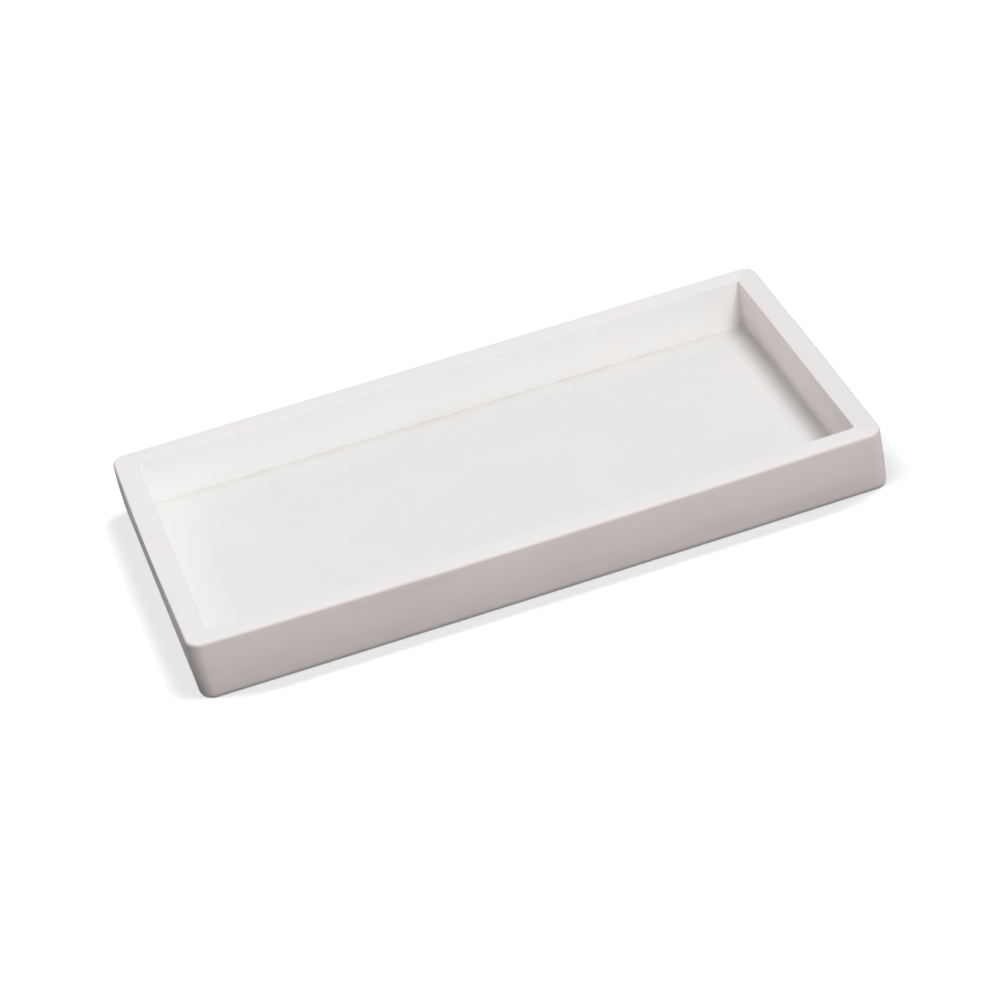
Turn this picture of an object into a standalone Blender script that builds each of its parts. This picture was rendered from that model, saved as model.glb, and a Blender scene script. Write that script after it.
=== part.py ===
"""A shallow rectangular vanity tray, moulded in one piece in matt silicone.

The tray stands on four round grip pads, each set in a shallow socket in the underside. Lengths are in
metres, +Z is up, the long side lies along X and the origin is on the table under the tray's middle.
"""

import math

import bmesh
import bpy

# Tray, measured at its rim where a size changes with height
TRAY_LENGTH = 0.250
TRAY_WIDTH = 0.130
BODY_HEIGHT = 0.0226
WALL_THICKNESS = 0.0084
FLOOR_THICKNESS = 0.0038
OUTER_DRAFT = 0.0005
INNER_DRAFT = 0.0006
OUTER_CORNER_RADIUS = 0.0050
INNER_CORNER_RADIUS = 0.0010
RIM_ROUND = 0.0010
FOOT_ROUND = 0.0006
INNER_EDGE_ROUND = 0.0004

# Grip pads and the sockets that hold them
PAD_DIAMETER = 0.0180
PAD_STAND_OFF = 0.0004
PAD_EDGE_ROUND = 0.0003
PAD_CENTRE_FROM_END = 0.0220
PAD_CENTRE_FROM_SIDE = 0.0210
SOCKET_DEPTH = 0.0013
SEAT_CLEARANCE = 0.0003

# How far a cutter runs past the face that it opens
CUT_OVERRUN = 0.0020

# Steps in each quarter turn of a rounded edge, and around a pad
CORNER_STEPS = 10
EDGE_STEPS = 5
FINE_EDGE_STEPS = 2
PAD_SIDES = 64

# A rounded edge takes in only edges that turn by more than the first angle, and shading breaks at the second
CRISP_EDGE_ANGLE = math.radians(60)
SHADING_BREAK_ANGLE = math.radians(30)

# Finishes
SILICONE_COLOUR = (0.86, 0.84, 0.83, 1.0)
SILICONE_ROUGHNESS = 0.62
PAD_COLOUR = (0.62, 0.61, 0.60, 1.0)
PAD_ROUGHNESS = 0.45


def clear_scene():
    for item in list(bpy.data.objects):
        bpy.data.objects.remove(item, do_unlink=True)


def make_collection(name):
    collection = bpy.data.collections.new(name)
    bpy.context.scene.collection.children.link(collection)
    return collection


def make_material(name, colour, roughness):
    material = bpy.data.materials.new(name)
    material.use_nodes = True
    shader = material.node_tree.nodes["Principled BSDF"]
    shader.inputs["Base Color"].default_value = colour
    shader.inputs["Roughness"].default_value = roughness
    shader.inputs["Metallic"].default_value = 0.0
    return material


def add_object(name, mesh, collection, location=(0, 0, 0)):
    item = bpy.data.objects.new(name, mesh)
    item.location = location
    collection.objects.link(item)
    return item


def mesh_from(name, bm):
    bmesh.ops.recalc_face_normals(bm, faces=bm.faces)
    mesh = bpy.data.meshes.new(name)
    bm.to_mesh(mesh)
    bm.free()
    return mesh


def height_span(edge):
    first, second = edge.verts
    return abs(first.co.z - second.co.z)


def edges_at(bm, height, tolerance):
    """The edges whose two ends both lie at the given height."""
    return [edge for edge in bm.edges if all(abs(vert.co.z - height) < tolerance for vert in edge.verts)]


def round_edges(bm, edges, radius, steps):
    bmesh.ops.bevel(
        bm,
        geom=edges,
        offset=radius,
        offset_type="OFFSET",
        segments=steps,
        profile=0.5,
        affect="EDGES",
        clamp_overlap=True,
    )


def drafted_box(length, width, height, draft, corner_radius):
    """A box on Z = 0 whose foot stands in from its top by the draft, with round upright corners."""
    bm = bmesh.new()
    bmesh.ops.create_cube(bm, size=1)
    bmesh.ops.scale(bm, vec=(length, width, height), verts=bm.verts)
    bmesh.ops.translate(bm, vec=(0, 0, height / 2), verts=bm.verts)
    for vert in bm.verts:
        if vert.co.z < height / 2:
            vert.co.x -= math.copysign(draft, vert.co.x)
            vert.co.y -= math.copysign(draft, vert.co.y)
    upright = [edge for edge in bm.edges if height_span(edge) > height / 2]
    round_edges(bm, upright, corner_radius, CORNER_STEPS)
    return bm


def disc_mesh(name, radius, thickness):
    bm = bmesh.new()
    bmesh.ops.create_cone(
        bm, cap_ends=True, segments=PAD_SIDES, radius1=radius, radius2=radius, depth=thickness
    )
    return mesh_from(name, bm)


def cut(item, cutter):
    boolean = item.modifiers.new("cut_" + cutter.name, "BOOLEAN")
    boolean.operation = "DIFFERENCE"
    boolean.solver = "EXACT"
    boolean.object = cutter
    cutter.hide_render = True
    cutter.display_type = "WIRE"


def round_sharp_edges(item, radius, steps):
    """A Bevel that leaves the shallow facets of the large rounds alone."""
    bevel = item.modifiers.new("edge_round", "BEVEL")
    bevel.width = radius
    bevel.segments = steps
    bevel.limit_method = "ANGLE"
    bevel.angle_limit = CRISP_EDGE_ANGLE
    bevel.use_clamp_overlap = True


def shade_round(item):
    item.data.shade_smooth()
    item.data.set_sharp_from_angle(angle=SHADING_BREAK_ANGLE)


def pad_places():
    """The name and centre of each pad, seen from above with the front at -Y."""
    reach_x = TRAY_LENGTH / 2 - PAD_CENTRE_FROM_END
    reach_y = TRAY_WIDTH / 2 - PAD_CENTRE_FROM_SIDE
    sides = (("front", -reach_y), ("back", reach_y))
    ends = (("left", -reach_x), ("right", reach_x))
    return [(f"{side}_{end}", x, y) for side, y in sides for end, x in ends]


def build_cavity_cutter(cutters):
    """The space inside the walls, run on above the rim at the same slope."""
    depth = BODY_HEIGHT - FLOOR_THICKNESS
    height = depth + CUT_OVERRUN
    overrun_draft = INNER_DRAFT * CUT_OVERRUN / depth
    bm = drafted_box(
        TRAY_LENGTH - 2 * WALL_THICKNESS + 2 * overrun_draft,
        TRAY_WIDTH - 2 * WALL_THICKNESS + 2 * overrun_draft,
        height,
        INNER_DRAFT + overrun_draft,
        INNER_CORNER_RADIUS,
    )
    floor_level = PAD_STAND_OFF + FLOOR_THICKNESS
    return add_object("cavity_cutter", mesh_from("cavity_cutter", bm), cutters, (0, 0, floor_level))


def build_socket_cutters(cutters):
    """A round socket for each pad, with the seat clearance all round it."""
    height = SOCKET_DEPTH + CUT_OVERRUN
    mesh = disc_mesh("socket_cutter", PAD_DIAMETER / 2 + SEAT_CLEARANCE, height)
    middle = PAD_STAND_OFF + SOCKET_DEPTH - height / 2
    return [
        add_object("socket_cutter_" + place, mesh, cutters, (x, y, middle)) for place, x, y in pad_places()
    ]


def build_tray(parts, cutters):
    """One moulding: a drafted box with soft outer edges, hollowed from above and socketed below."""
    bm = drafted_box(TRAY_LENGTH, TRAY_WIDTH, BODY_HEIGHT, OUTER_DRAFT, OUTER_CORNER_RADIUS)
    tolerance = RIM_ROUND / 10
    round_edges(bm, edges_at(bm, BODY_HEIGHT, tolerance), RIM_ROUND, EDGE_STEPS)
    round_edges(bm, edges_at(bm, 0, tolerance), FOOT_ROUND, EDGE_STEPS)
    tray = add_object("tray", mesh_from("tray", bm), parts, (0, 0, PAD_STAND_OFF))
    tray.data.materials.append(make_material("matt_white_silicone", SILICONE_COLOUR, SILICONE_ROUGHNESS))
    shade_round(tray)
    cut(tray, build_cavity_cutter(cutters))
    for cutter in build_socket_cutters(cutters):
        cut(tray, cutter)
    round_sharp_edges(tray, INNER_EDGE_ROUND, FINE_EDGE_STEPS)


def build_pads(parts):
    """Four flat discs, each held in its socket and standing a little proud of the underside."""
    thickness = SOCKET_DEPTH - SEAT_CLEARANCE + PAD_STAND_OFF
    mesh = disc_mesh("grip_pad", PAD_DIAMETER / 2, thickness)
    mesh.materials.append(make_material("soft_grey_silicone", PAD_COLOUR, PAD_ROUGHNESS))
    for place, x, y in pad_places():
        pad = add_object("grip_pad_" + place, mesh, parts, (x, y, thickness / 2))
        round_sharp_edges(pad, PAD_EDGE_ROUND, FINE_EDGE_STEPS)
        shade_round(pad)


def main():
    clear_scene()
    parts = make_collection("vanity_tray")
    cutters = make_collection("cutters")
    build_tray(parts, cutters)
    build_pads(parts)


main()
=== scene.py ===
"""The looks of a shallow silicone tray on four grip pads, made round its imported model.

Lengths are in metres and +Z is up. The front of the tray faces -Y, and the origin is on the table
under the tray's middle.
"""

import math

import bmesh
import bpy
import numpy as np
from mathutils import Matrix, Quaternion, Vector


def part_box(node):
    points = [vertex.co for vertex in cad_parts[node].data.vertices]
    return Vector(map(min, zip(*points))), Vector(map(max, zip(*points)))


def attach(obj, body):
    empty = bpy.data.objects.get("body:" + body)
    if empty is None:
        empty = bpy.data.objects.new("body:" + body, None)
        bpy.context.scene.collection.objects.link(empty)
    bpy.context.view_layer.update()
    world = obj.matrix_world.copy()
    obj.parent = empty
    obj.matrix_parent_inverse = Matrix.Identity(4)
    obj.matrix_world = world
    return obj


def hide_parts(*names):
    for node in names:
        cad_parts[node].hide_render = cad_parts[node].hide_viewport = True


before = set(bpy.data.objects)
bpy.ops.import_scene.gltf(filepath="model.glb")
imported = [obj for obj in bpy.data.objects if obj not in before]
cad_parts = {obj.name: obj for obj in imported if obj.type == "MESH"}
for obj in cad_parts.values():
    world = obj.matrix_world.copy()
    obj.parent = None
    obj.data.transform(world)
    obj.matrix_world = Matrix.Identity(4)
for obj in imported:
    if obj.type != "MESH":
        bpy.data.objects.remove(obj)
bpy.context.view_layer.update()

TRAY_LOW, TRAY_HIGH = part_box("tray")
PAD_NODES = [name for name in sorted(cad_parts) if name.startswith("grip_pad")]

# Tray. Its outer half sizes, underside and rim come from the frame, and a size that changes with
# height is given at the rim
HALF_LENGTH = TRAY_HIGH.x
HALF_WIDTH = TRAY_HIGH.y
UNDERSIDE = TRAY_LOW.z
RIM_HEIGHT = TRAY_HIGH.z
WALL_THICKNESS = 0.0084
FLOOR_THICKNESS = 0.0038
OUTER_DRAFT = 0.0005
INNER_DRAFT = 0.0006
OUTER_CORNER_RADIUS = 0.0050
INNER_CORNER_RADIUS = 0.0010
RIM_ROUND = 0.0010
RIM_DRAW = 0.0003
FOOT_ROUND = 0.0005
FOOT_RISE = 0.0016
INNER_EDGE_ROUND = 0.0002
FLOOR_FILLET = 0.0004
FLOOR_HEIGHT = UNDERSIDE + FLOOR_THICKNESS

# The floor fillet grows by this much in the right end's inner corners, and fades over this reach
# along the walls
CORNER_FILL = 0.0015
CORNER_FILL_REACH = 0.0050

# How far the soft walls stand out of true, the lengths of the two waves that sum to it, and where
# they start outside and inside, in radians
WALL_WANDER = 0.00012
WANDER_LENGTH = 0.083
SECOND_WANDER_LENGTH = WANDER_LENGTH * math.e
OUTSIDE_WANDER_START = 0.7
INSIDE_WANDER_START = 2.9

# The rim is this much lower at its edges than along its middle
RIM_CROWN = 0.00006

# How the soft walls have slumped: the front's rim dips in its middle, the front's and the left end's
# outer faces curve in towards their ends, and the right end's rim leans in towards the front
FRONT_DIP = 0.0007
FRONT_BOW = 0.0006
LEFT_BOW = 0.0003
RIGHT_LEAN = 0.0004

# The left end's rim round is sharper than the others by this share, in its middle. The left end's
# outer draft is larger by the second share, and both of the right end's drafts are smaller by the third
LEFT_SHARPNESS = 0.75
LEFT_SPLAY = 0.6
RIGHT_UPRIGHTNESS = 0.9

# A ring this far from each rounded edge keeps the flat beside it flat
EDGE_MARGIN = 0.0004

# Sockets in the underside, and the grip pads
SOCKET_RADIUS = 0.0093
SOCKET_CEILING = 0.0017
SOCKET_EDGE_ROUND = 0.0003
PAD_EDGE_ROUND = 0.0003
PAD_GROOVE_DEPTH = 0.00018
PAD_GROOVE_PITCH = 0.0024
PAD_GROOVES = 3
PAD_SMOOTH_RADIUS = 0.0012

# Steps of each surface's grid. The underside's last ring but one is this share short of its border
HALF_LONG_SIDE_STEPS = 40
HALF_SHORT_SIDE_STEPS = 22
CORNER_STEPS = 12
ROUND_STEPS = 8
WALL_STEPS = 10
RIM_STEPS = 8
FLOOR_STEPS = 16
SEAM_STEPS = 16
UNDERSIDE_STEPS = 8
UNDERSIDE_MARGIN_SHARE = 0.01
CEILING_STEPS = 5
PAD_SIDES = 96
PAD_GROOVE_STEPS = 48
MERGE_DISTANCE = 1e-7

# The photograph's viewpoint
CAMERA_AIM = Vector((-0.00271, -0.01835, 0.0115))
CAMERA_DISTANCE = 1.1504
CAMERA_TURN = math.radians(-11.264)
CAMERA_RISE = math.radians(33.894)
CAMERA_ROLL = math.radians(-10.875)
CAMERA_LENS = 118.43
CAMERA_SENSOR = 36.0

# Finishes
SILICONE_PALE = (0.905, 0.815, 0.802, 1.0)
SILICONE_DEEP = (0.883, 0.791, 0.778, 1.0)
# A pale neutral tint, painted over the lit faces as light
SILICONE_LIT_TINT = (0.861, 0.867, 0.860, 1.0)
# Grey for dust, handling streaks and painted shade
SILICONE_DUST_AND_SHADE = (0.50, 0.48, 0.46, 1.0)
SILICONE_IOR = 1.41
SILICONE_GLOSS = 0.25
SILICONE_GLOW = 0.1
SILICONE_GLOW_DEPTH = 0.002
SILICONE_GLOW_SPREAD = (1.0, 0.86, 0.78)
PAD_PALE = (0.64, 0.63, 0.62, 1.0)
PAD_DEEP = (0.57, 0.56, 0.55, 1.0)
PAD_IOR = 1.43

# Noise in the finishes: patches to a metre and fineness, the range of the noise that tells, and what
# its two ends become
TRAY_MOTTLE = dict(scale=24, detail=3, low=0.35, high=0.65, new_low=0.0, new_high=1.0)
TRAY_STREAKS = dict(
    scale=14, detail=4, stretch=(1.0, 1.0, 7.0), low=0.52, high=0.72, new_low=0.0, new_high=0.17
)
# The noise below thins the painted lit tint, and the dust with painted shade
TRAY_LIT_TINT_COVER = dict(scale=40, detail=3, low=0.3, high=0.7, new_low=0.80, new_high=0.95)
TRAY_DUST_AND_SHADE_COVER = dict(scale=120, detail=2, low=0.3, high=0.7, new_low=0.50, new_high=0.60)
TRAY_ROUGHNESS = dict(scale=60, detail=3, low=0.3, high=0.7, new_low=0.55, new_high=0.68)
PAD_MOTTLE = dict(scale=180, detail=3, low=0.35, high=0.65, new_low=0.0, new_high=1.0)
PAD_ROUGHNESS = dict(scale=300, detail=2, low=0.3, high=0.7, new_low=0.40, new_high=0.52)

# Relief in the finishes: patches to a metre and fineness, then its height and how strongly it shows
TRAY_SWELL = dict(scale=90, detail=1, distance=0.0001, strength=0.35)
TRAY_GRAIN = dict(scale=2600, detail=2, distance=0.00002, strength=0.6)
PAD_GRAIN = dict(scale=3200, detail=2, distance=0.00002, strength=0.5)

# Shares of dust and of painted shade in places. The floor carries a little dust all over, painted shade
# towards the back wall and painted light towards the left end. The rest is painted shade: round the outer
# walls' feet, over the rim's rounded edges where it damps their highlight, on the outer walls growing
# towards the left end and most on that shaded end, on the left inner wall, on the right end's rim, in the
# floor's creases, most along the long sides, and at the feet of the long inner walls. The back inner wall
# is a little darker. The finish's noise thins all of it to 0.5 to 0.6 of its share, so the silicone still
# shows under a share a little above 1
FLOOR_DUST = 0.20
BACK_FLOOR_SHADE = 0.52
LEFT_FLOOR_LIGHT = 0.26
FOOT_SHADE = 0.30
EDGE_SHADE = 0.30
LEFTWARD_SHADE = 0.34
LEFT_END_SHADE = 0.65
LEFT_WALL_SHADE = 0.50
BACK_WALL_DARKENING = 0.04
RIGHT_RIM_SHADE = 0.20
END_CREASE_SHADE = 0.15
CREASE_SHADE = 1.25
WALL_FOOT_SHADE = 0.10

# How sharply the floor's painted shade and painted light gather at its edges, and the painted shade at the
# walls' feet: the power that the place is raised to. The creases' painted shade falls to these shares on
# the floor's next two rings
BACK_FLOOR_FALL = 5
LEFT_FLOOR_FALL = 6
WALL_FOOT_FALL = 12
CREASE_SPREAD = np.array([[0.6], [0.3]])

# Shares of a pale neutral tint, painted light: it is mixed over the lit faces so that they read neutral,
# and faces without it keep the silicone's pink as shade. It is 1 on the other inner walls and on the
# floor, and least on the right end's inner wall, which lies in shade
RIM_LIT_TINT = 0.88
RIGHT_WALL_LIT_TINT = 0.15

# Table and light
TABLE_HALF_SIZE = 6.0
TABLE_ALBEDO = 0.10
TABLE_GLOW = 0.263
TABLE_BOUNCE_ALBEDO = 0.003
BACKGROUND_WHITE = 1.0
SKY_STRENGTH = 0.374

# Soft suns on the tray alone, and others on the table alone. A sun's turn is anticlockwise from the
# front, seen from above, and its rise is above the table. The table is white wherever no more than half
# of the back suns are hidden from it
SUN_AIM = Vector((0.0, 0.0, 0.012))
SUN_DISTANCE = 6.0
TRAY_SUNS = {
    "front_key": dict(turn=15, rise=48, strength=1.57, width=14),
    "right_key": dict(turn=48, rise=60, strength=0.64, width=14),
    "left_back_fill": dict(turn=-140, rise=25, strength=0.325, width=24),
}
TABLE_SUNS = {
    "table_back_sun_far_left": dict(turn=-105.3, rise=41.3, strength=7.14, width=8),
    "table_back_sun_left": dict(turn=-118.6, rise=57.9, strength=5.56, width=8),
    "table_back_sun_right": dict(turn=118.6, rise=57.9, strength=3.71, width=8),
    "table_back_sun_far_right": dict(turn=105.3, rise=41.3, strength=4.76, width=8),
    "table_right_sun": dict(turn=62, rise=66.5, strength=10.28, width=18),
    "table_left_sun": dict(turn=-65, rise=70, strength=6.7, width=20),
}


def eased(share):
    """A share from -1 to 1 whose steps shorten towards both ends: half itself and half its sine."""
    return (share + np.sin(share * math.pi / 2)) / 2


def outline_loop():
    """The points of any rounded rectangle in plan, anticlockwise from the middle of the right side.

    A point is a point of a smaller rectangle plus the corner radius turned to face outwards. The first
    two rows are shares of the smaller rectangle's half sizes, and the last two are the direction that it
    faces. One quarter runs up half a short side, round the corner and along half a long side, and the
    other three are its mirror images.
    """
    short_side = eased(np.linspace(0, 1, HALF_SHORT_SIDE_STEPS + 1))
    long_side = eased(np.linspace(0, 1, HALF_LONG_SIDE_STEPS + 1))
    corner = np.linspace(0, math.pi / 2, CORNER_STEPS + 1)
    along_x = np.concatenate([np.ones(HALF_SHORT_SIDE_STEPS + CORNER_STEPS), long_side[::-1]])
    along_y = np.concatenate([short_side[:-1], np.ones(CORNER_STEPS + HALF_LONG_SIDE_STEPS + 1)])
    straight = np.zeros(HALF_SHORT_SIDE_STEPS)
    turn = np.concatenate([straight, corner, np.full(HALF_LONG_SIDE_STEPS, math.pi / 2)])
    quarter = np.stack([along_x, along_y, np.cos(turn), np.sin(turn)])
    left = quarter * np.array([[-1], [1], [-1], [1]])
    front = quarter * np.array([[1], [-1], [1], [-1]])
    return np.concatenate([quarter[:, :-1], left[:, :0:-1], -quarter[:, :-1], front[:, :0:-1]], axis=1)


def arc(across, height, radius, start, end, rise=None):
    """Rows of a round in a section: its centre plus the radius turned from start to end, in degrees.

    With a rise of its own the round is a quarter of an ellipse: that is its radius in height. The rows
    lie where the surface has turned by even steps.
    """
    if rise is None:
        rise = radius
    facing = np.radians(np.linspace(start, end, ROUND_STEPS + 1))[:, None]
    angle = np.arctan2(rise * np.sin(facing), radius * np.cos(facing))
    return across + radius * np.cos(angle), height + rise * np.sin(angle)


def flat_shares(length, steps):
    """Even shares along a flat, the first and last of them a margin from its ends."""
    margin = EDGE_MARGIN / length
    return np.linspace(margin, 1 - margin, steps)[:, None]


def between(start, end, share):
    return start + (end - start) * share


def fillet_radius(loop):
    """The floor fillet at each outline point: plain, plus a bell curve on the right end's corners."""
    from_corner = (1 - abs(loop[0])) * HALF_LENGTH + (1 - abs(loop[1])) * HALF_WIDTH
    right = (1 + loop[0]) / 2
    return FLOOR_FILLET + CORNER_FILL * right * np.exp(-((from_corner / CORNER_FILL_REACH) ** 2))


def floor_dust_shade_and_light(along, across):
    """The floor's dust, painted shade and painted light at these shares of its half sizes: a little dust
    all over, painted shade towards the back wall and painted light towards the left end.
    """
    back = BACK_FLOOR_SHADE * np.clip(across, 0, 1) ** BACK_FLOOR_FALL
    return FLOOR_DUST + back - LEFT_FLOOR_LIGHT * np.clip(-along, 0, 1) ** LEFT_FLOOR_FALL


def wall_section(loop):
    """The wall's section at each outline point, from the underside's edge over the rim to the floor.

    Five values come for each row and outline point: the inset from the tray's outer side, the height, the
    plan corner radius, the share of dust and painted shade, and the share of the neutral tint that is
    painted light. The rows are a tall foot round, the outer wall, the rim round, the crowned rim, the
    inner edge round, the drafted inner wall, the floor fillet and the floor's edge.

    A round is an arc in the section, and its plan corner radius changes by as much as its inset. The
    outer wall is a shallow barrel: its inset is the draft times the squared share of the way down, plus
    the rim's draw times the squared share of the way up, which only the long sides have. The left end has
    more outer draft and a sharper rim round, and the right end has less draft inside and out.

    Painted shade lies on the outer wall, from none at the right to most at the left end, its shaded side,
    and more round the foot. It lies over both of the rim's rounded edges, damping their highlight, on the
    right end's rim, on the left inner wall and at the foot of the long inner walls, and the back inner
    wall is a little darker. The floor has a little dust, painted shade towards the back, painted light
    towards the left end, and painted shade in its creases, more at its ends and most along its long sides,
    where the fillet is small. The neutral tint, painted light, lies on the rim and everything inside it,
    and least on the right end's inner wall, which lies in shade.
    """
    fillet = fillet_radius(loop)
    foot_top = UNDERSIDE + FOOT_RISE
    shoulder = RIM_HEIGHT - RIM_CROWN
    rim_end = WALL_THICKNESS - INNER_EDGE_ROUND
    foot_corner = INNER_CORNER_RADIUS + CORNER_FILL / 2
    turning = np.linspace(0, 1, ROUND_STEPS + 1)[:, None]
    long_side = abs(loop[3])
    draw = RIM_DRAW * long_side
    right = np.clip(loop[2], 0, 1)
    left = np.clip(-loop[2], 0, 1)
    draft = OUTER_DRAFT * (1 + LEFT_SPLAY * left - RIGHT_UPRIGHTNESS * right)
    inner_foot = WALL_THICKNESS + INNER_DRAFT * (1 - RIGHT_UPRIGHTNESS * right)
    rim_round = RIM_ROUND * (1 - LEFT_SHARPNESS * left * (1 - loop[1] ** 2))

    foot, foot_height = arc(draft + FOOT_ROUND, foot_top, FOOT_ROUND, -90, -180, FOOT_RISE)
    outer = flat_shares(shoulder - foot_top, WALL_STEPS)
    edge, edge_height = arc(draw + rim_round, shoulder - rim_round, rim_round, 180, 90)
    rim = flat_shares(rim_end - RIM_ROUND, RIM_STEPS)
    lip, lip_height = arc(rim_end, shoulder - INNER_EDGE_ROUND, INNER_EDGE_ROUND, 90, 0)
    inner = flat_shares(shoulder - FLOOR_HEIGHT, WALL_STEPS)
    sweep, sweep_height = arc(inner_foot + fillet, FLOOR_HEIGHT + fillet, fillet, 180, 270)
    floor_edge = EDGE_MARGIN * np.array([[1], [2]])
    crease = FLOOR_FILLET / fillet * long_side
    # Painted shade on the outer walls, growing towards the left end, its shaded side, and round the foot
    outer_wall_shade = LEFTWARD_SHADE * (1 - loop[0]) / 2 + LEFT_END_SHADE * left
    # Painted shade on the right end's rim
    rim_top_shade = RIGHT_RIM_SHADE * right
    # Painted shade over the rim's rounded edges, damping their highlight
    edge_round_shade = between(outer_wall_shade, rim_top_shade, turning) + EDGE_SHADE * np.sin(math.pi * turning)
    # Painted shade on the left inner wall and at the long walls' feet; the back inner wall is a little
    # darker
    inner_wall_shade = LEFT_WALL_SHADE * left + BACK_WALL_DARKENING * np.clip(loop[3], 0, 1)
    lip_round_shade = between(rim_top_shade, inner_wall_shade, turning) + EDGE_SHADE * np.sin(math.pi * turning)
    # Painted shade in the floor's creases, over a little dust
    crease_darkening = floor_dust_shade_and_light(loop[0], loop[1]) + END_CREASE_SHADE * (left + right)
    inner_wall_foot_shade = inner_wall_shade + WALL_FOOT_SHADE * crease
    # The neutral tint is painted light, least on the right end's inner wall, which lies in shade
    inner_wall_lit_tint = between(1, RIGHT_WALL_LIT_TINT, right)

    rows = [
        (foot, foot_height, OUTER_CORNER_RADIUS + draft - foot, outer_wall_shade + FOOT_SHADE, 0),
        (
            draft * (1 - outer) ** 2 + draw * outer**2,
            between(foot_top, shoulder - rim_round, outer),
            OUTER_CORNER_RADIUS,
            outer_wall_shade + FOOT_SHADE * (1 - outer) ** 2,
            0,
        ),
        (edge, edge_height, OUTER_CORNER_RADIUS + draw - edge, edge_round_shade, RIM_LIT_TINT * turning),
        (
            between(draw + rim_round, rim_end, rim),
            RIM_HEIGHT - RIM_CROWN * (2 * rim - 1) ** 2,
            between(OUTER_CORNER_RADIUS - rim_round, INNER_CORNER_RADIUS + INNER_EDGE_ROUND, rim),
            rim_top_shade,
            RIM_LIT_TINT,
        ),
        (
            lip,
            lip_height,
            INNER_CORNER_RADIUS + WALL_THICKNESS - lip,
            lip_round_shade,
            between(RIM_LIT_TINT, inner_wall_lit_tint, turning),
        ),
        (
            between(WALL_THICKNESS, inner_foot, inner),
            between(shoulder - INNER_EDGE_ROUND, FLOOR_HEIGHT + fillet, inner),
            between(INNER_CORNER_RADIUS, foot_corner, inner),
            between(inner_wall_shade, inner_wall_foot_shade, inner**WALL_FOOT_FALL),
            inner_wall_lit_tint,
        ),
        (
            sweep,
            sweep_height,
            foot_corner,
            between(inner_wall_foot_shade, between(crease_darkening, CREASE_SHADE, crease), turning),
            between(inner_wall_lit_tint, 1, turning),
        ),
        (
            inner_foot + fillet + floor_edge,
            FLOOR_HEIGHT,
            foot_corner,
            between(crease_darkening, CREASE_SHADE, CREASE_SPREAD * crease),
            1,
        ),
    ]
    columns = np.ones(loop.shape[1])
    return np.concatenate([np.stack(np.broadcast_arrays(*row, columns)[:5]) for row in rows], axis=1)


def wander(loop, height, start):
    """A slow wave along the walls, from 0 to 1: two sines of the place in plan and of the height."""
    x = loop[0] * HALF_LENGTH
    y = loop[1] * HALF_WIDTH
    lean = height / RIM_HEIGHT
    first = 2 * math.pi * (x - y) / WANDER_LENGTH
    second = 2 * math.pi * (x + 2 * y) / SECOND_WANDER_LENGTH
    return (2 + np.sin(first + start + lean) + np.sin(second - start + 2 * lean)) / 4


def ramp(value, end):
    """Smoothly from 0 at zero to 1 at the end: thrice the squared share less twice the cubed one."""
    share = np.clip(value / end, 0, 1)
    return share**2 * (3 - 2 * share)


def slumped(points, outside):
    """The points moved as the soft walls have slumped.

    Along a wall, each curve is a parabola: the dip is 1 less the squared place, a bow the squared place
    and the lean the squared share of the way to the front. Dip, lean and the left end's bow grow with the
    squared height. Bows and lean are the outer faces' alone, and outside is each point's share of them.
    Every curve fades out towards the tray's middle.
    """
    x, y, z = points[..., 0], points[..., 1], points[..., 2]
    up = np.clip((z - FLOOR_HEIGHT) / (RIM_HEIGHT - FLOOR_HEIGHT), 0, 1) ** 2
    across = (y / HALF_WIDTH) ** 2
    along = (x / HALF_LENGTH) ** 2
    front = ramp(-y, HALF_WIDTH - WALL_THICKNESS - INNER_DRAFT)
    left = up * ramp(-x, HALF_LENGTH - WALL_THICKNESS - INNER_DRAFT)
    right = up * ramp(x, HALF_LENGTH - WALL_THICKNESS - INNER_DRAFT)
    bow = FRONT_BOW * front * along * outside
    draw = (LEFT_BOW * left * across - RIGHT_LEAN * right * ((1 - y / HALF_WIDTH) / 2) ** 2) * outside
    return np.stack([x + draw, y + bow, z - FRONT_DIP * up * front * (1 - along)], axis=-1)


def tray_shell(loop):
    """Points, dust with painted shade, and the neutral tint that is painted light, of all but the
    underside:
    the wall's section carried round the outline.

    The walls wander inwards a little, on one wave outside and another inside, blended over the rim. The
    floor is the section's last row drawn in to the middle in even shares.
    """
    inset, height, radius, dust_and_shade, lit_tint = wall_section(loop)
    over_rim = np.clip(inset / WALL_THICKNESS, 0, 1)
    outside = wander(loop, height, OUTSIDE_WANDER_START)
    inside = wander(loop, height, INSIDE_WANDER_START)
    inset = inset + WALL_WANDER * between(outside, inside, over_rim)
    x = loop[0] * (HALF_LENGTH - inset - radius) + radius * loop[2]
    y = loop[1] * (HALF_WIDTH - inset - radius) + radius * loop[3]
    walls = slumped(np.stack([x, y, height], axis=-1), 1 - over_rim)
    share = np.linspace(1, 0, FLOOR_STEPS + 1)[1:, None, None]
    middle = np.array([0, 0, FLOOR_HEIGHT])
    floor = between(middle, walls[-1], share)
    share = share[..., 0]
    dust_and_shade = np.concatenate([dust_and_shade, floor_dust_shade_and_light(loop[0] * share, loop[1] * share)])
    lit_tint = np.concatenate([lit_tint, np.ones(floor.shape[:2])])
    return np.concatenate([walls, floor]), {"dust_and_shade": dust_and_shade, "lit_tint": lit_tint}


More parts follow.
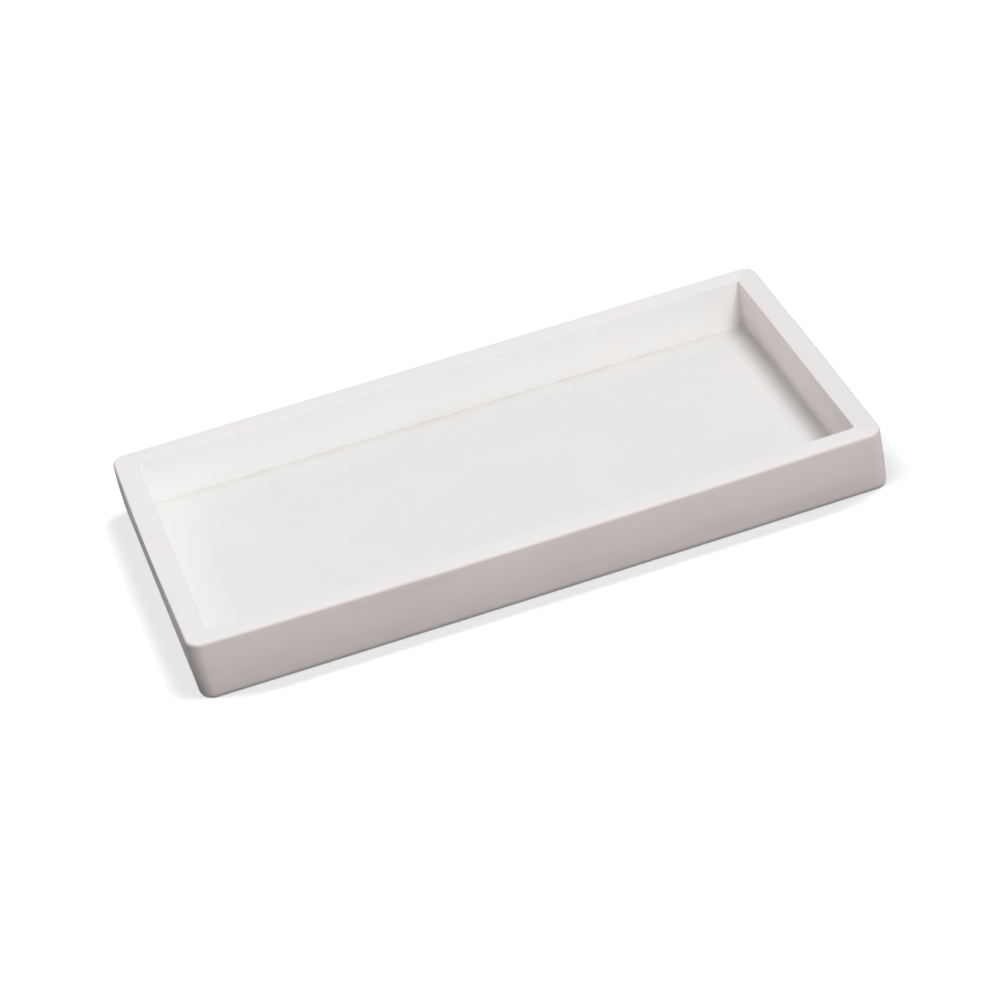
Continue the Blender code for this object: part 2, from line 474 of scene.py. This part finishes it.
def underside_quarter(edge, centre):
    """Points of a quarter of the underside and its socket, as rings round the socket's axis.

    The border is the quarter's stretch of the foot's edge and two straight seams to the middle of the
    tray. The socket is a section turned towards every point of the border: a flat ceiling, a round, a
    wall and a rounded mouth. From the mouth, straight lines run out to the border, with one ring close
    inside it.
    """
    middle = np.array([0, 0, UNDERSIDE])
    seam = np.linspace(0, 1, SEAM_STEPS + 1)[1:, None]
    border = np.concatenate([edge, between(edge[-1], middle, seam), between(middle, edge[0], seam[:-1])])
    away = border[:, :2] - centre
    away = away / np.linalg.norm(away, axis=1)[:, None]

    ceiling = np.linspace(0, SOCKET_RADIUS - SOCKET_EDGE_ROUND - EDGE_MARGIN, CEILING_STEPS)[:, None]
    top, top_height = arc(
        SOCKET_RADIUS - SOCKET_EDGE_ROUND, SOCKET_CEILING - SOCKET_EDGE_ROUND, SOCKET_EDGE_ROUND, 90, 0
    )
    mouth, mouth_height = arc(
        SOCKET_RADIUS + SOCKET_EDGE_ROUND, UNDERSIDE + SOCKET_EDGE_ROUND, SOCKET_EDGE_ROUND, 180, 270
    )
    radius = np.concatenate([ceiling, top, mouth, mouth[-1:] + EDGE_MARGIN])
    ceiling_height = np.full_like(ceiling, SOCKET_CEILING)
    height = np.concatenate([ceiling_height, top_height, mouth_height, mouth_height[-1:]])
    plan = centre + away * radius[:, :, None]
    socket = np.concatenate([plan, np.broadcast_to(height[:, :, None], plan.shape[:2] + (1,))], axis=2)
    even = np.linspace(0, 1, UNDERSIDE_STEPS + 1)
    share = np.concatenate([even[1:-1], [1 - UNDERSIDE_MARGIN_SHARE, 1]])[:, None, None]
    return np.concatenate([socket, between(socket[-1], border, share)])


def turned_disc(centre, radius, height):
    """Points of a section of radii and heights turned round an upright axis through the centre."""
    angle = np.linspace(0, 2 * math.pi, PAD_SIDES, endpoint=False)
    x = centre[0] + radius * np.cos(angle)
    y = centre[1] + radius * np.sin(angle)
    return np.stack(np.broadcast_arrays(x, y, height), axis=-1)


def ring_faces(rings, columns):
    """The four corners of each face between neighbouring closed rings of points."""
    row = np.arange(rings - 1)[:, None] * columns
    column = np.arange(columns)
    after = (column + 1) % columns
    return np.stack([row + column, row + after, row + after + columns, row + column + columns], axis=-1)


def closed_piece(name, surfaces, shares=None):
    """One closed mesh of several ringed surfaces, welded along their seams and at their poles.

    Each surface is an array of rings by points by three coordinates. shares names each attribute and
    gives its values on the first surface. The other surfaces have none of it.
    """
    faces = []
    first = 0
    for surface in surfaces:
        faces.append(ring_faces(*surface.shape[:2]).reshape(-1, 4) + first)
        first += surface.shape[0] * surface.shape[1]
    mesh = bpy.data.meshes.new(name)
    points = np.concatenate([surface.reshape(-1, 3) for surface in surfaces])
    mesh.from_pydata(points.tolist(), [], np.concatenate(faces).tolist())
    for title, share in (shares or {}).items():
        values = np.zeros(len(points), np.float32)
        values[: share.size] = share.ravel()
        mesh.attributes.new(title, "FLOAT", "POINT").data.foreach_set("value", values)

    bm = bmesh.new()
    bm.from_mesh(mesh)
    bmesh.ops.remove_doubles(bm, verts=bm.verts, dist=MERGE_DISTANCE)
    bmesh.ops.recalc_face_normals(bm, faces=bm.faces)
    bm.to_mesh(mesh)
    bm.free()
    mesh.shade_smooth()
    piece = bpy.data.objects.new(name, mesh)
    bpy.context.scene.collection.objects.link(piece)
    return piece


def box_middle(node):
    low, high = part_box(node)
    return np.array((low + high) / 2)


def build_tray():
    """The moulding: a shell carried round the outline, and four quarters of underside with sockets."""
    loop = outline_loop()
    shell, shares = tray_shell(loop)
    quarter = loop.shape[1] // 4
    edge = np.concatenate([shell[0], shell[0, :1]])
    surfaces = [shell]
    for index in range(4):
        stretch = edge[index * quarter : (index + 1) * quarter + 1]
        side = np.sign(stretch[quarter // 2, :2])
        centre = side * abs(box_middle(PAD_NODES[0])[:2])
        surfaces.append(underside_quarter(stretch, centre))
    tray = closed_piece("silicone_tray", surfaces, shares)
    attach(tray, "root")
    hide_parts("tray")
    tray.data.materials.append(matt_white_silicone())
    return tray


def build_pad(node, finish):
    """A grip pad: a turned disc with rounded edges and round grooves in its foot.

    The foot's height over its radius is a raised cosine, one wave to a groove, between a smooth middle
    and a smooth edge.
    """
    low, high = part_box(node)
    outer = (high.x - low.x) / 2
    foot = np.linspace(0, outer - PAD_EDGE_ROUND - EDGE_MARGIN / 2, PAD_GROOVE_STEPS)[:, None]
    waves = np.clip((foot - PAD_SMOOTH_RADIUS) / PAD_GROOVE_PITCH, 0, PAD_GROOVES)
    foot_height = low.z + PAD_GROOVE_DEPTH * (1 - np.cos(2 * math.pi * waves)) / 2
    lower, lower_height = arc(outer - PAD_EDGE_ROUND, low.z + PAD_EDGE_ROUND, PAD_EDGE_ROUND, -90, 0)
    upper, upper_height = arc(outer - PAD_EDGE_ROUND, high.z - PAD_EDGE_ROUND, PAD_EDGE_ROUND, 0, 90)
    top = np.array([[outer - PAD_EDGE_ROUND - EDGE_MARGIN], [0.0]])
    radius = np.concatenate([foot, lower, upper, top])
    height = np.concatenate([foot_height, lower_height, upper_height, np.full_like(top, high.z)])
    disc = turned_disc(box_middle(node), radius, height)
    pad = closed_piece(node.replace("grip_pad", "silicone_pad"), [disc])
    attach(pad, "root")
    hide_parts(node)
    pad.data.materials.append(finish)
    return pad


def new_finish(name):
    """A material with its shader and a node that gives the place on the piece."""
    finish = bpy.data.materials.new(name)
    finish.use_nodes = True
    place = finish.node_tree.nodes.new("ShaderNodeTexCoord")
    return finish, finish.node_tree.nodes["Principled BSDF"], place.outputs["Object"]


def add_node(finish, kind, links=None, values=None, **settings):
    """A node with its settings, the values of its inputs and what is linked to them."""
    node = finish.node_tree.nodes.new(kind)
    for name, setting in settings.items():
        setattr(node, name, setting)
    for name, value in (values or {}).items():
        node.inputs[name].default_value = value
    for name, source in (links or {}).items():
        finish.node_tree.links.new(source, node.inputs[name])
    return node


def cloud(finish, place, scale, detail, stretch=(1.0, 1.0, 1.0)):
    """Soft noise from 0 to 1 with about this many patches to a metre."""
    moved = add_node(finish, "ShaderNodeMapping", {"Vector": place}, {"Scale": stretch})
    links = {"Vector": moved.outputs["Vector"]}
    noise = add_node(finish, "ShaderNodeTexNoise", links, {"Scale": scale, "Detail": detail})
    return noise.outputs["Fac"]


def patches(finish, place, low, high, new_low, new_high, **form):
    """Noise of this form taken smoothly from one range to another."""
    links = {"Value": cloud(finish, place, **form)}
    values = {"From Min": low, "From Max": high, "To Min": new_low, "To Max": new_high}
    node = add_node(finish, "ShaderNodeMapRange", links, values, interpolation_type="SMOOTHSTEP")
    return node.outputs["Result"]


def thinned(finish, attribute, cover):
    """A share that the mesh carries as an attribute, times the noise that thins it."""
    share = add_node(finish, "ShaderNodeAttribute", attribute_name=attribute)
    node = add_node(finish, "ShaderNodeMath", operation="MULTIPLY")
    finish.node_tree.links.new(share.outputs["Fac"], node.inputs[0])
    finish.node_tree.links.new(cover, node.inputs[1])
    return node.outputs["Value"]


def mixed(finish, share, first, second):
    """One colour blended into another. Either is a colour or another node's output."""
    node = add_node(finish, "ShaderNodeMix", {"Factor": share}, data_type="RGBA")
    for name, colour in (("A", first), ("B", second)):
        socket = next(item for item in node.inputs if item.name == name and item.type == "RGBA")
        if isinstance(colour, tuple):
            socket.default_value = colour
        else:
            finish.node_tree.links.new(colour, socket)
    return next(item for item in node.outputs if item.type == "RGBA")


def relief(finish, place, distance, strength, below=None, **form):
    """The normal of noise of this form raised to this height, on any relief below it."""
    links = {"Height": cloud(finish, place, **form)}
    if below is not None:
        links["Normal"] = below
    node = add_node(finish, "ShaderNodeBump", links, {"Distance": distance, "Strength": strength})
    return node.outputs["Normal"]


def matt_white_silicone():
    """Matt warm white with slow mottling, faint streaks from handling and a grain.

    A pale neutral tint is painted over the lit faces as light, and grey dust with painted shade lies where
    its own attribute says.
    """
    finish, shader, place = new_finish("matt_white_silicone")
    links = finish.node_tree.links
    mottle = patches(finish, place, **TRAY_MOTTLE)
    colour = mixed(finish, mottle, SILICONE_PALE, SILICONE_DEEP)
    streaks = patches(finish, place, **TRAY_STREAKS)
    colour = mixed(finish, streaks, colour, SILICONE_DUST_AND_SHADE)
    lit_tint = thinned(finish, "lit_tint", patches(finish, place, **TRAY_LIT_TINT_COVER))
    colour = mixed(finish, lit_tint, colour, SILICONE_LIT_TINT)
    dust_and_shade = thinned(finish, "dust_and_shade", patches(finish, place, **TRAY_DUST_AND_SHADE_COVER))
    colour = mixed(finish, dust_and_shade, colour, SILICONE_DUST_AND_SHADE)
    links.new(colour, shader.inputs["Base Color"])
    links.new(patches(finish, place, **TRAY_ROUGHNESS), shader.inputs["Roughness"])
    swell = relief(finish, place, **TRAY_SWELL)
    grain = relief(finish, place, below=swell, **TRAY_GRAIN)
    links.new(grain, shader.inputs["Normal"])
    shader.inputs["IOR"].default_value = SILICONE_IOR
    shader.inputs["Specular IOR Level"].default_value = SILICONE_GLOSS
    shader.inputs["Subsurface Weight"].default_value = SILICONE_GLOW
    shader.inputs["Subsurface Radius"].default_value = SILICONE_GLOW_SPREAD
    shader.inputs["Subsurface Scale"].default_value = SILICONE_GLOW_DEPTH
    return finish


def satin_grey_silicone():
    """Satin grey with slow mottling and a fine grain."""
    finish, shader, place = new_finish("satin_grey_silicone")
    links = finish.node_tree.links
    mottle = patches(finish, place, **PAD_MOTTLE)
    links.new(mixed(finish, mottle, PAD_PALE, PAD_DEEP), shader.inputs["Base Color"])
    links.new(patches(finish, place, **PAD_ROUGHNESS), shader.inputs["Roughness"])
    links.new(relief(finish, place, **PAD_GRAIN), shader.inputs["Normal"])
    shader.inputs["IOR"].default_value = PAD_IOR
    return finish


def seen_directly(tree):
    """1 for a ray from the camera, a reflection or a refraction, and 0 for one that carries light."""
    path = tree.nodes.new("ShaderNodeLightPath")
    seen = path.outputs["Is Camera Ray"]
    for name in ("Is Glossy Ray", "Is Transmission Ray"):
        either = tree.nodes.new("ShaderNodeMath")
        either.operation = "MAXIMUM"
        tree.links.new(seen, either.inputs[0])
        tree.links.new(path.outputs[name], either.inputs[1])
        seen = either.outputs["Value"]
    return seen


def pale_table():
    """White where it is seen, with the tray's shadow, and dark to the light that it would throw back."""
    finish = bpy.data.materials.new("pale_table")
    finish.use_nodes = True
    finish.cycles.emission_sampling = "NONE"
    tree = finish.node_tree
    tree.nodes.remove(tree.nodes["Principled BSDF"])
    grey = (TABLE_ALBEDO,) * 3 + (1.0,)
    surface = add_node(finish, "ShaderNodeBsdfDiffuse", values={"Color": grey})
    glow = add_node(finish, "ShaderNodeEmission", values={"Strength": TABLE_GLOW})
    dim = (TABLE_BOUNCE_ALBEDO,) * 3 + (1.0,)
    bounce = add_node(finish, "ShaderNodeBsdfDiffuse", values={"Color": dim})
    white = tree.nodes.new("ShaderNodeAddShader")
    tree.links.new(surface.outputs["BSDF"], white.inputs[0])
    tree.links.new(glow.outputs["Emission"], white.inputs[1])
    choice = tree.nodes.new("ShaderNodeMixShader")
    tree.links.new(seen_directly(tree), choice.inputs["Fac"])
    tree.links.new(bounce.outputs["BSDF"], choice.inputs[1])
    tree.links.new(white.outputs["Shader"], choice.inputs[2])
    tree.links.new(choice.outputs["Shader"], tree.nodes["Material Output"].inputs["Surface"])
    return finish


def build_table():
    """A plain flat table top under the tray."""
    reach = TABLE_HALF_SIZE
    mesh = bpy.data.meshes.new("table")
    corners = [(-reach, -reach, 0), (reach, -reach, 0), (reach, reach, 0), (-reach, reach, 0)]
    mesh.from_pydata(corners, [], [(0, 1, 2, 3)])
    mesh.materials.append(pale_table())
    table = bpy.data.objects.new("table", mesh)
    bpy.context.scene.collection.objects.link(table)
    return table


def build_sky():
    """Even light from all round, and plain white where it is seen."""
    world = bpy.data.worlds.new("studio")
    world.use_nodes = True
    bpy.context.scene.world = world
    tree = world.node_tree
    sky = tree.nodes["Background"]
    sky.inputs["Color"].default_value = (1.0, 1.0, 1.0, 1.0)
    sky.inputs["Strength"].default_value = SKY_STRENGTH
    white = tree.nodes.new("ShaderNodeBackground")
    white.inputs["Strength"].default_value = BACKGROUND_WHITE
    choice = tree.nodes.new("ShaderNodeMixShader")
    tree.links.new(seen_directly(tree), choice.inputs["Fac"])
    tree.links.new(sky.outputs["Background"], choice.inputs[1])
    tree.links.new(white.outputs["Background"], choice.inputs[2])
    tree.links.new(choice.outputs["Shader"], tree.nodes["World Output"].inputs["Surface"])


def towards(turn, rise):
    """The direction that lies this far round from the front and this far up, both in radians."""
    flat = math.cos(rise)
    return Vector((math.sin(turn) * flat, -math.cos(turn) * flat, math.sin(rise)))


def add_sun(name, turn, rise, strength, width):
    """A sun that shines from this turn and rise, in degrees. Its width is that of its disc."""
    sun = bpy.data.objects.new(name, bpy.data.lights.new(name, "SUN"))
    sun.data.energy = strength
    sun.data.angle = math.radians(width)
    away = towards(math.radians(turn), math.radians(rise))
    sun.location = SUN_AIM + away * SUN_DISTANCE
    sun.rotation_euler = (-away).to_track_quat("-Z", "Y").to_euler()
    bpy.context.scene.collection.objects.link(sun)
    return sun


def light_only(suns, name, lit):
    """The suns reach these objects alone, though anything may shade them."""
    group = bpy.data.collections.new(name)
    for item in lit:
        group.objects.link(item)
    for sun in suns:
        sun.light_linking.receiver_collection = group


def build_suns(pieces, table):
    """Soft suns for the pieces, and suns that lay the tray's faint shadows on the table."""
    tray_suns = [add_sun(name, **form) for name, form in TRAY_SUNS.items()]
    table_suns = [add_sun(name, **form) for name, form in TABLE_SUNS.items()]
    light_only(tray_suns, "lit_by_tray_suns", pieces)
    light_only(table_suns, "lit_by_table_suns", [table])


def build_camera():
    """The photograph's camera: at its distance from the aim, turned, raised and rolled."""
    data = bpy.data.cameras.new("camera")
    data.sensor_width = CAMERA_SENSOR
    data.lens = CAMERA_LENS
    camera = bpy.data.objects.new("camera", data)
    away = towards(CAMERA_TURN, CAMERA_RISE)
    camera.location = CAMERA_AIM + away * CAMERA_DISTANCE
    upright = (-away).to_track_quat("-Z", "Y")
    camera.rotation_euler = (upright @ Quaternion((0, 0, 1), CAMERA_ROLL)).to_euler()
    bpy.context.scene.collection.objects.link(camera)
    bpy.context.scene.camera = camera


def main():
    tray = build_tray()
    pad_finish = satin_grey_silicone()
    pads = [build_pad(node, pad_finish) for node in PAD_NODES]
    table = build_table()
    build_sky()
    build_suns([tray] + pads, table)
    build_camera()
    bpy.context.scene.view_settings.view_transform = "Standard"


main()
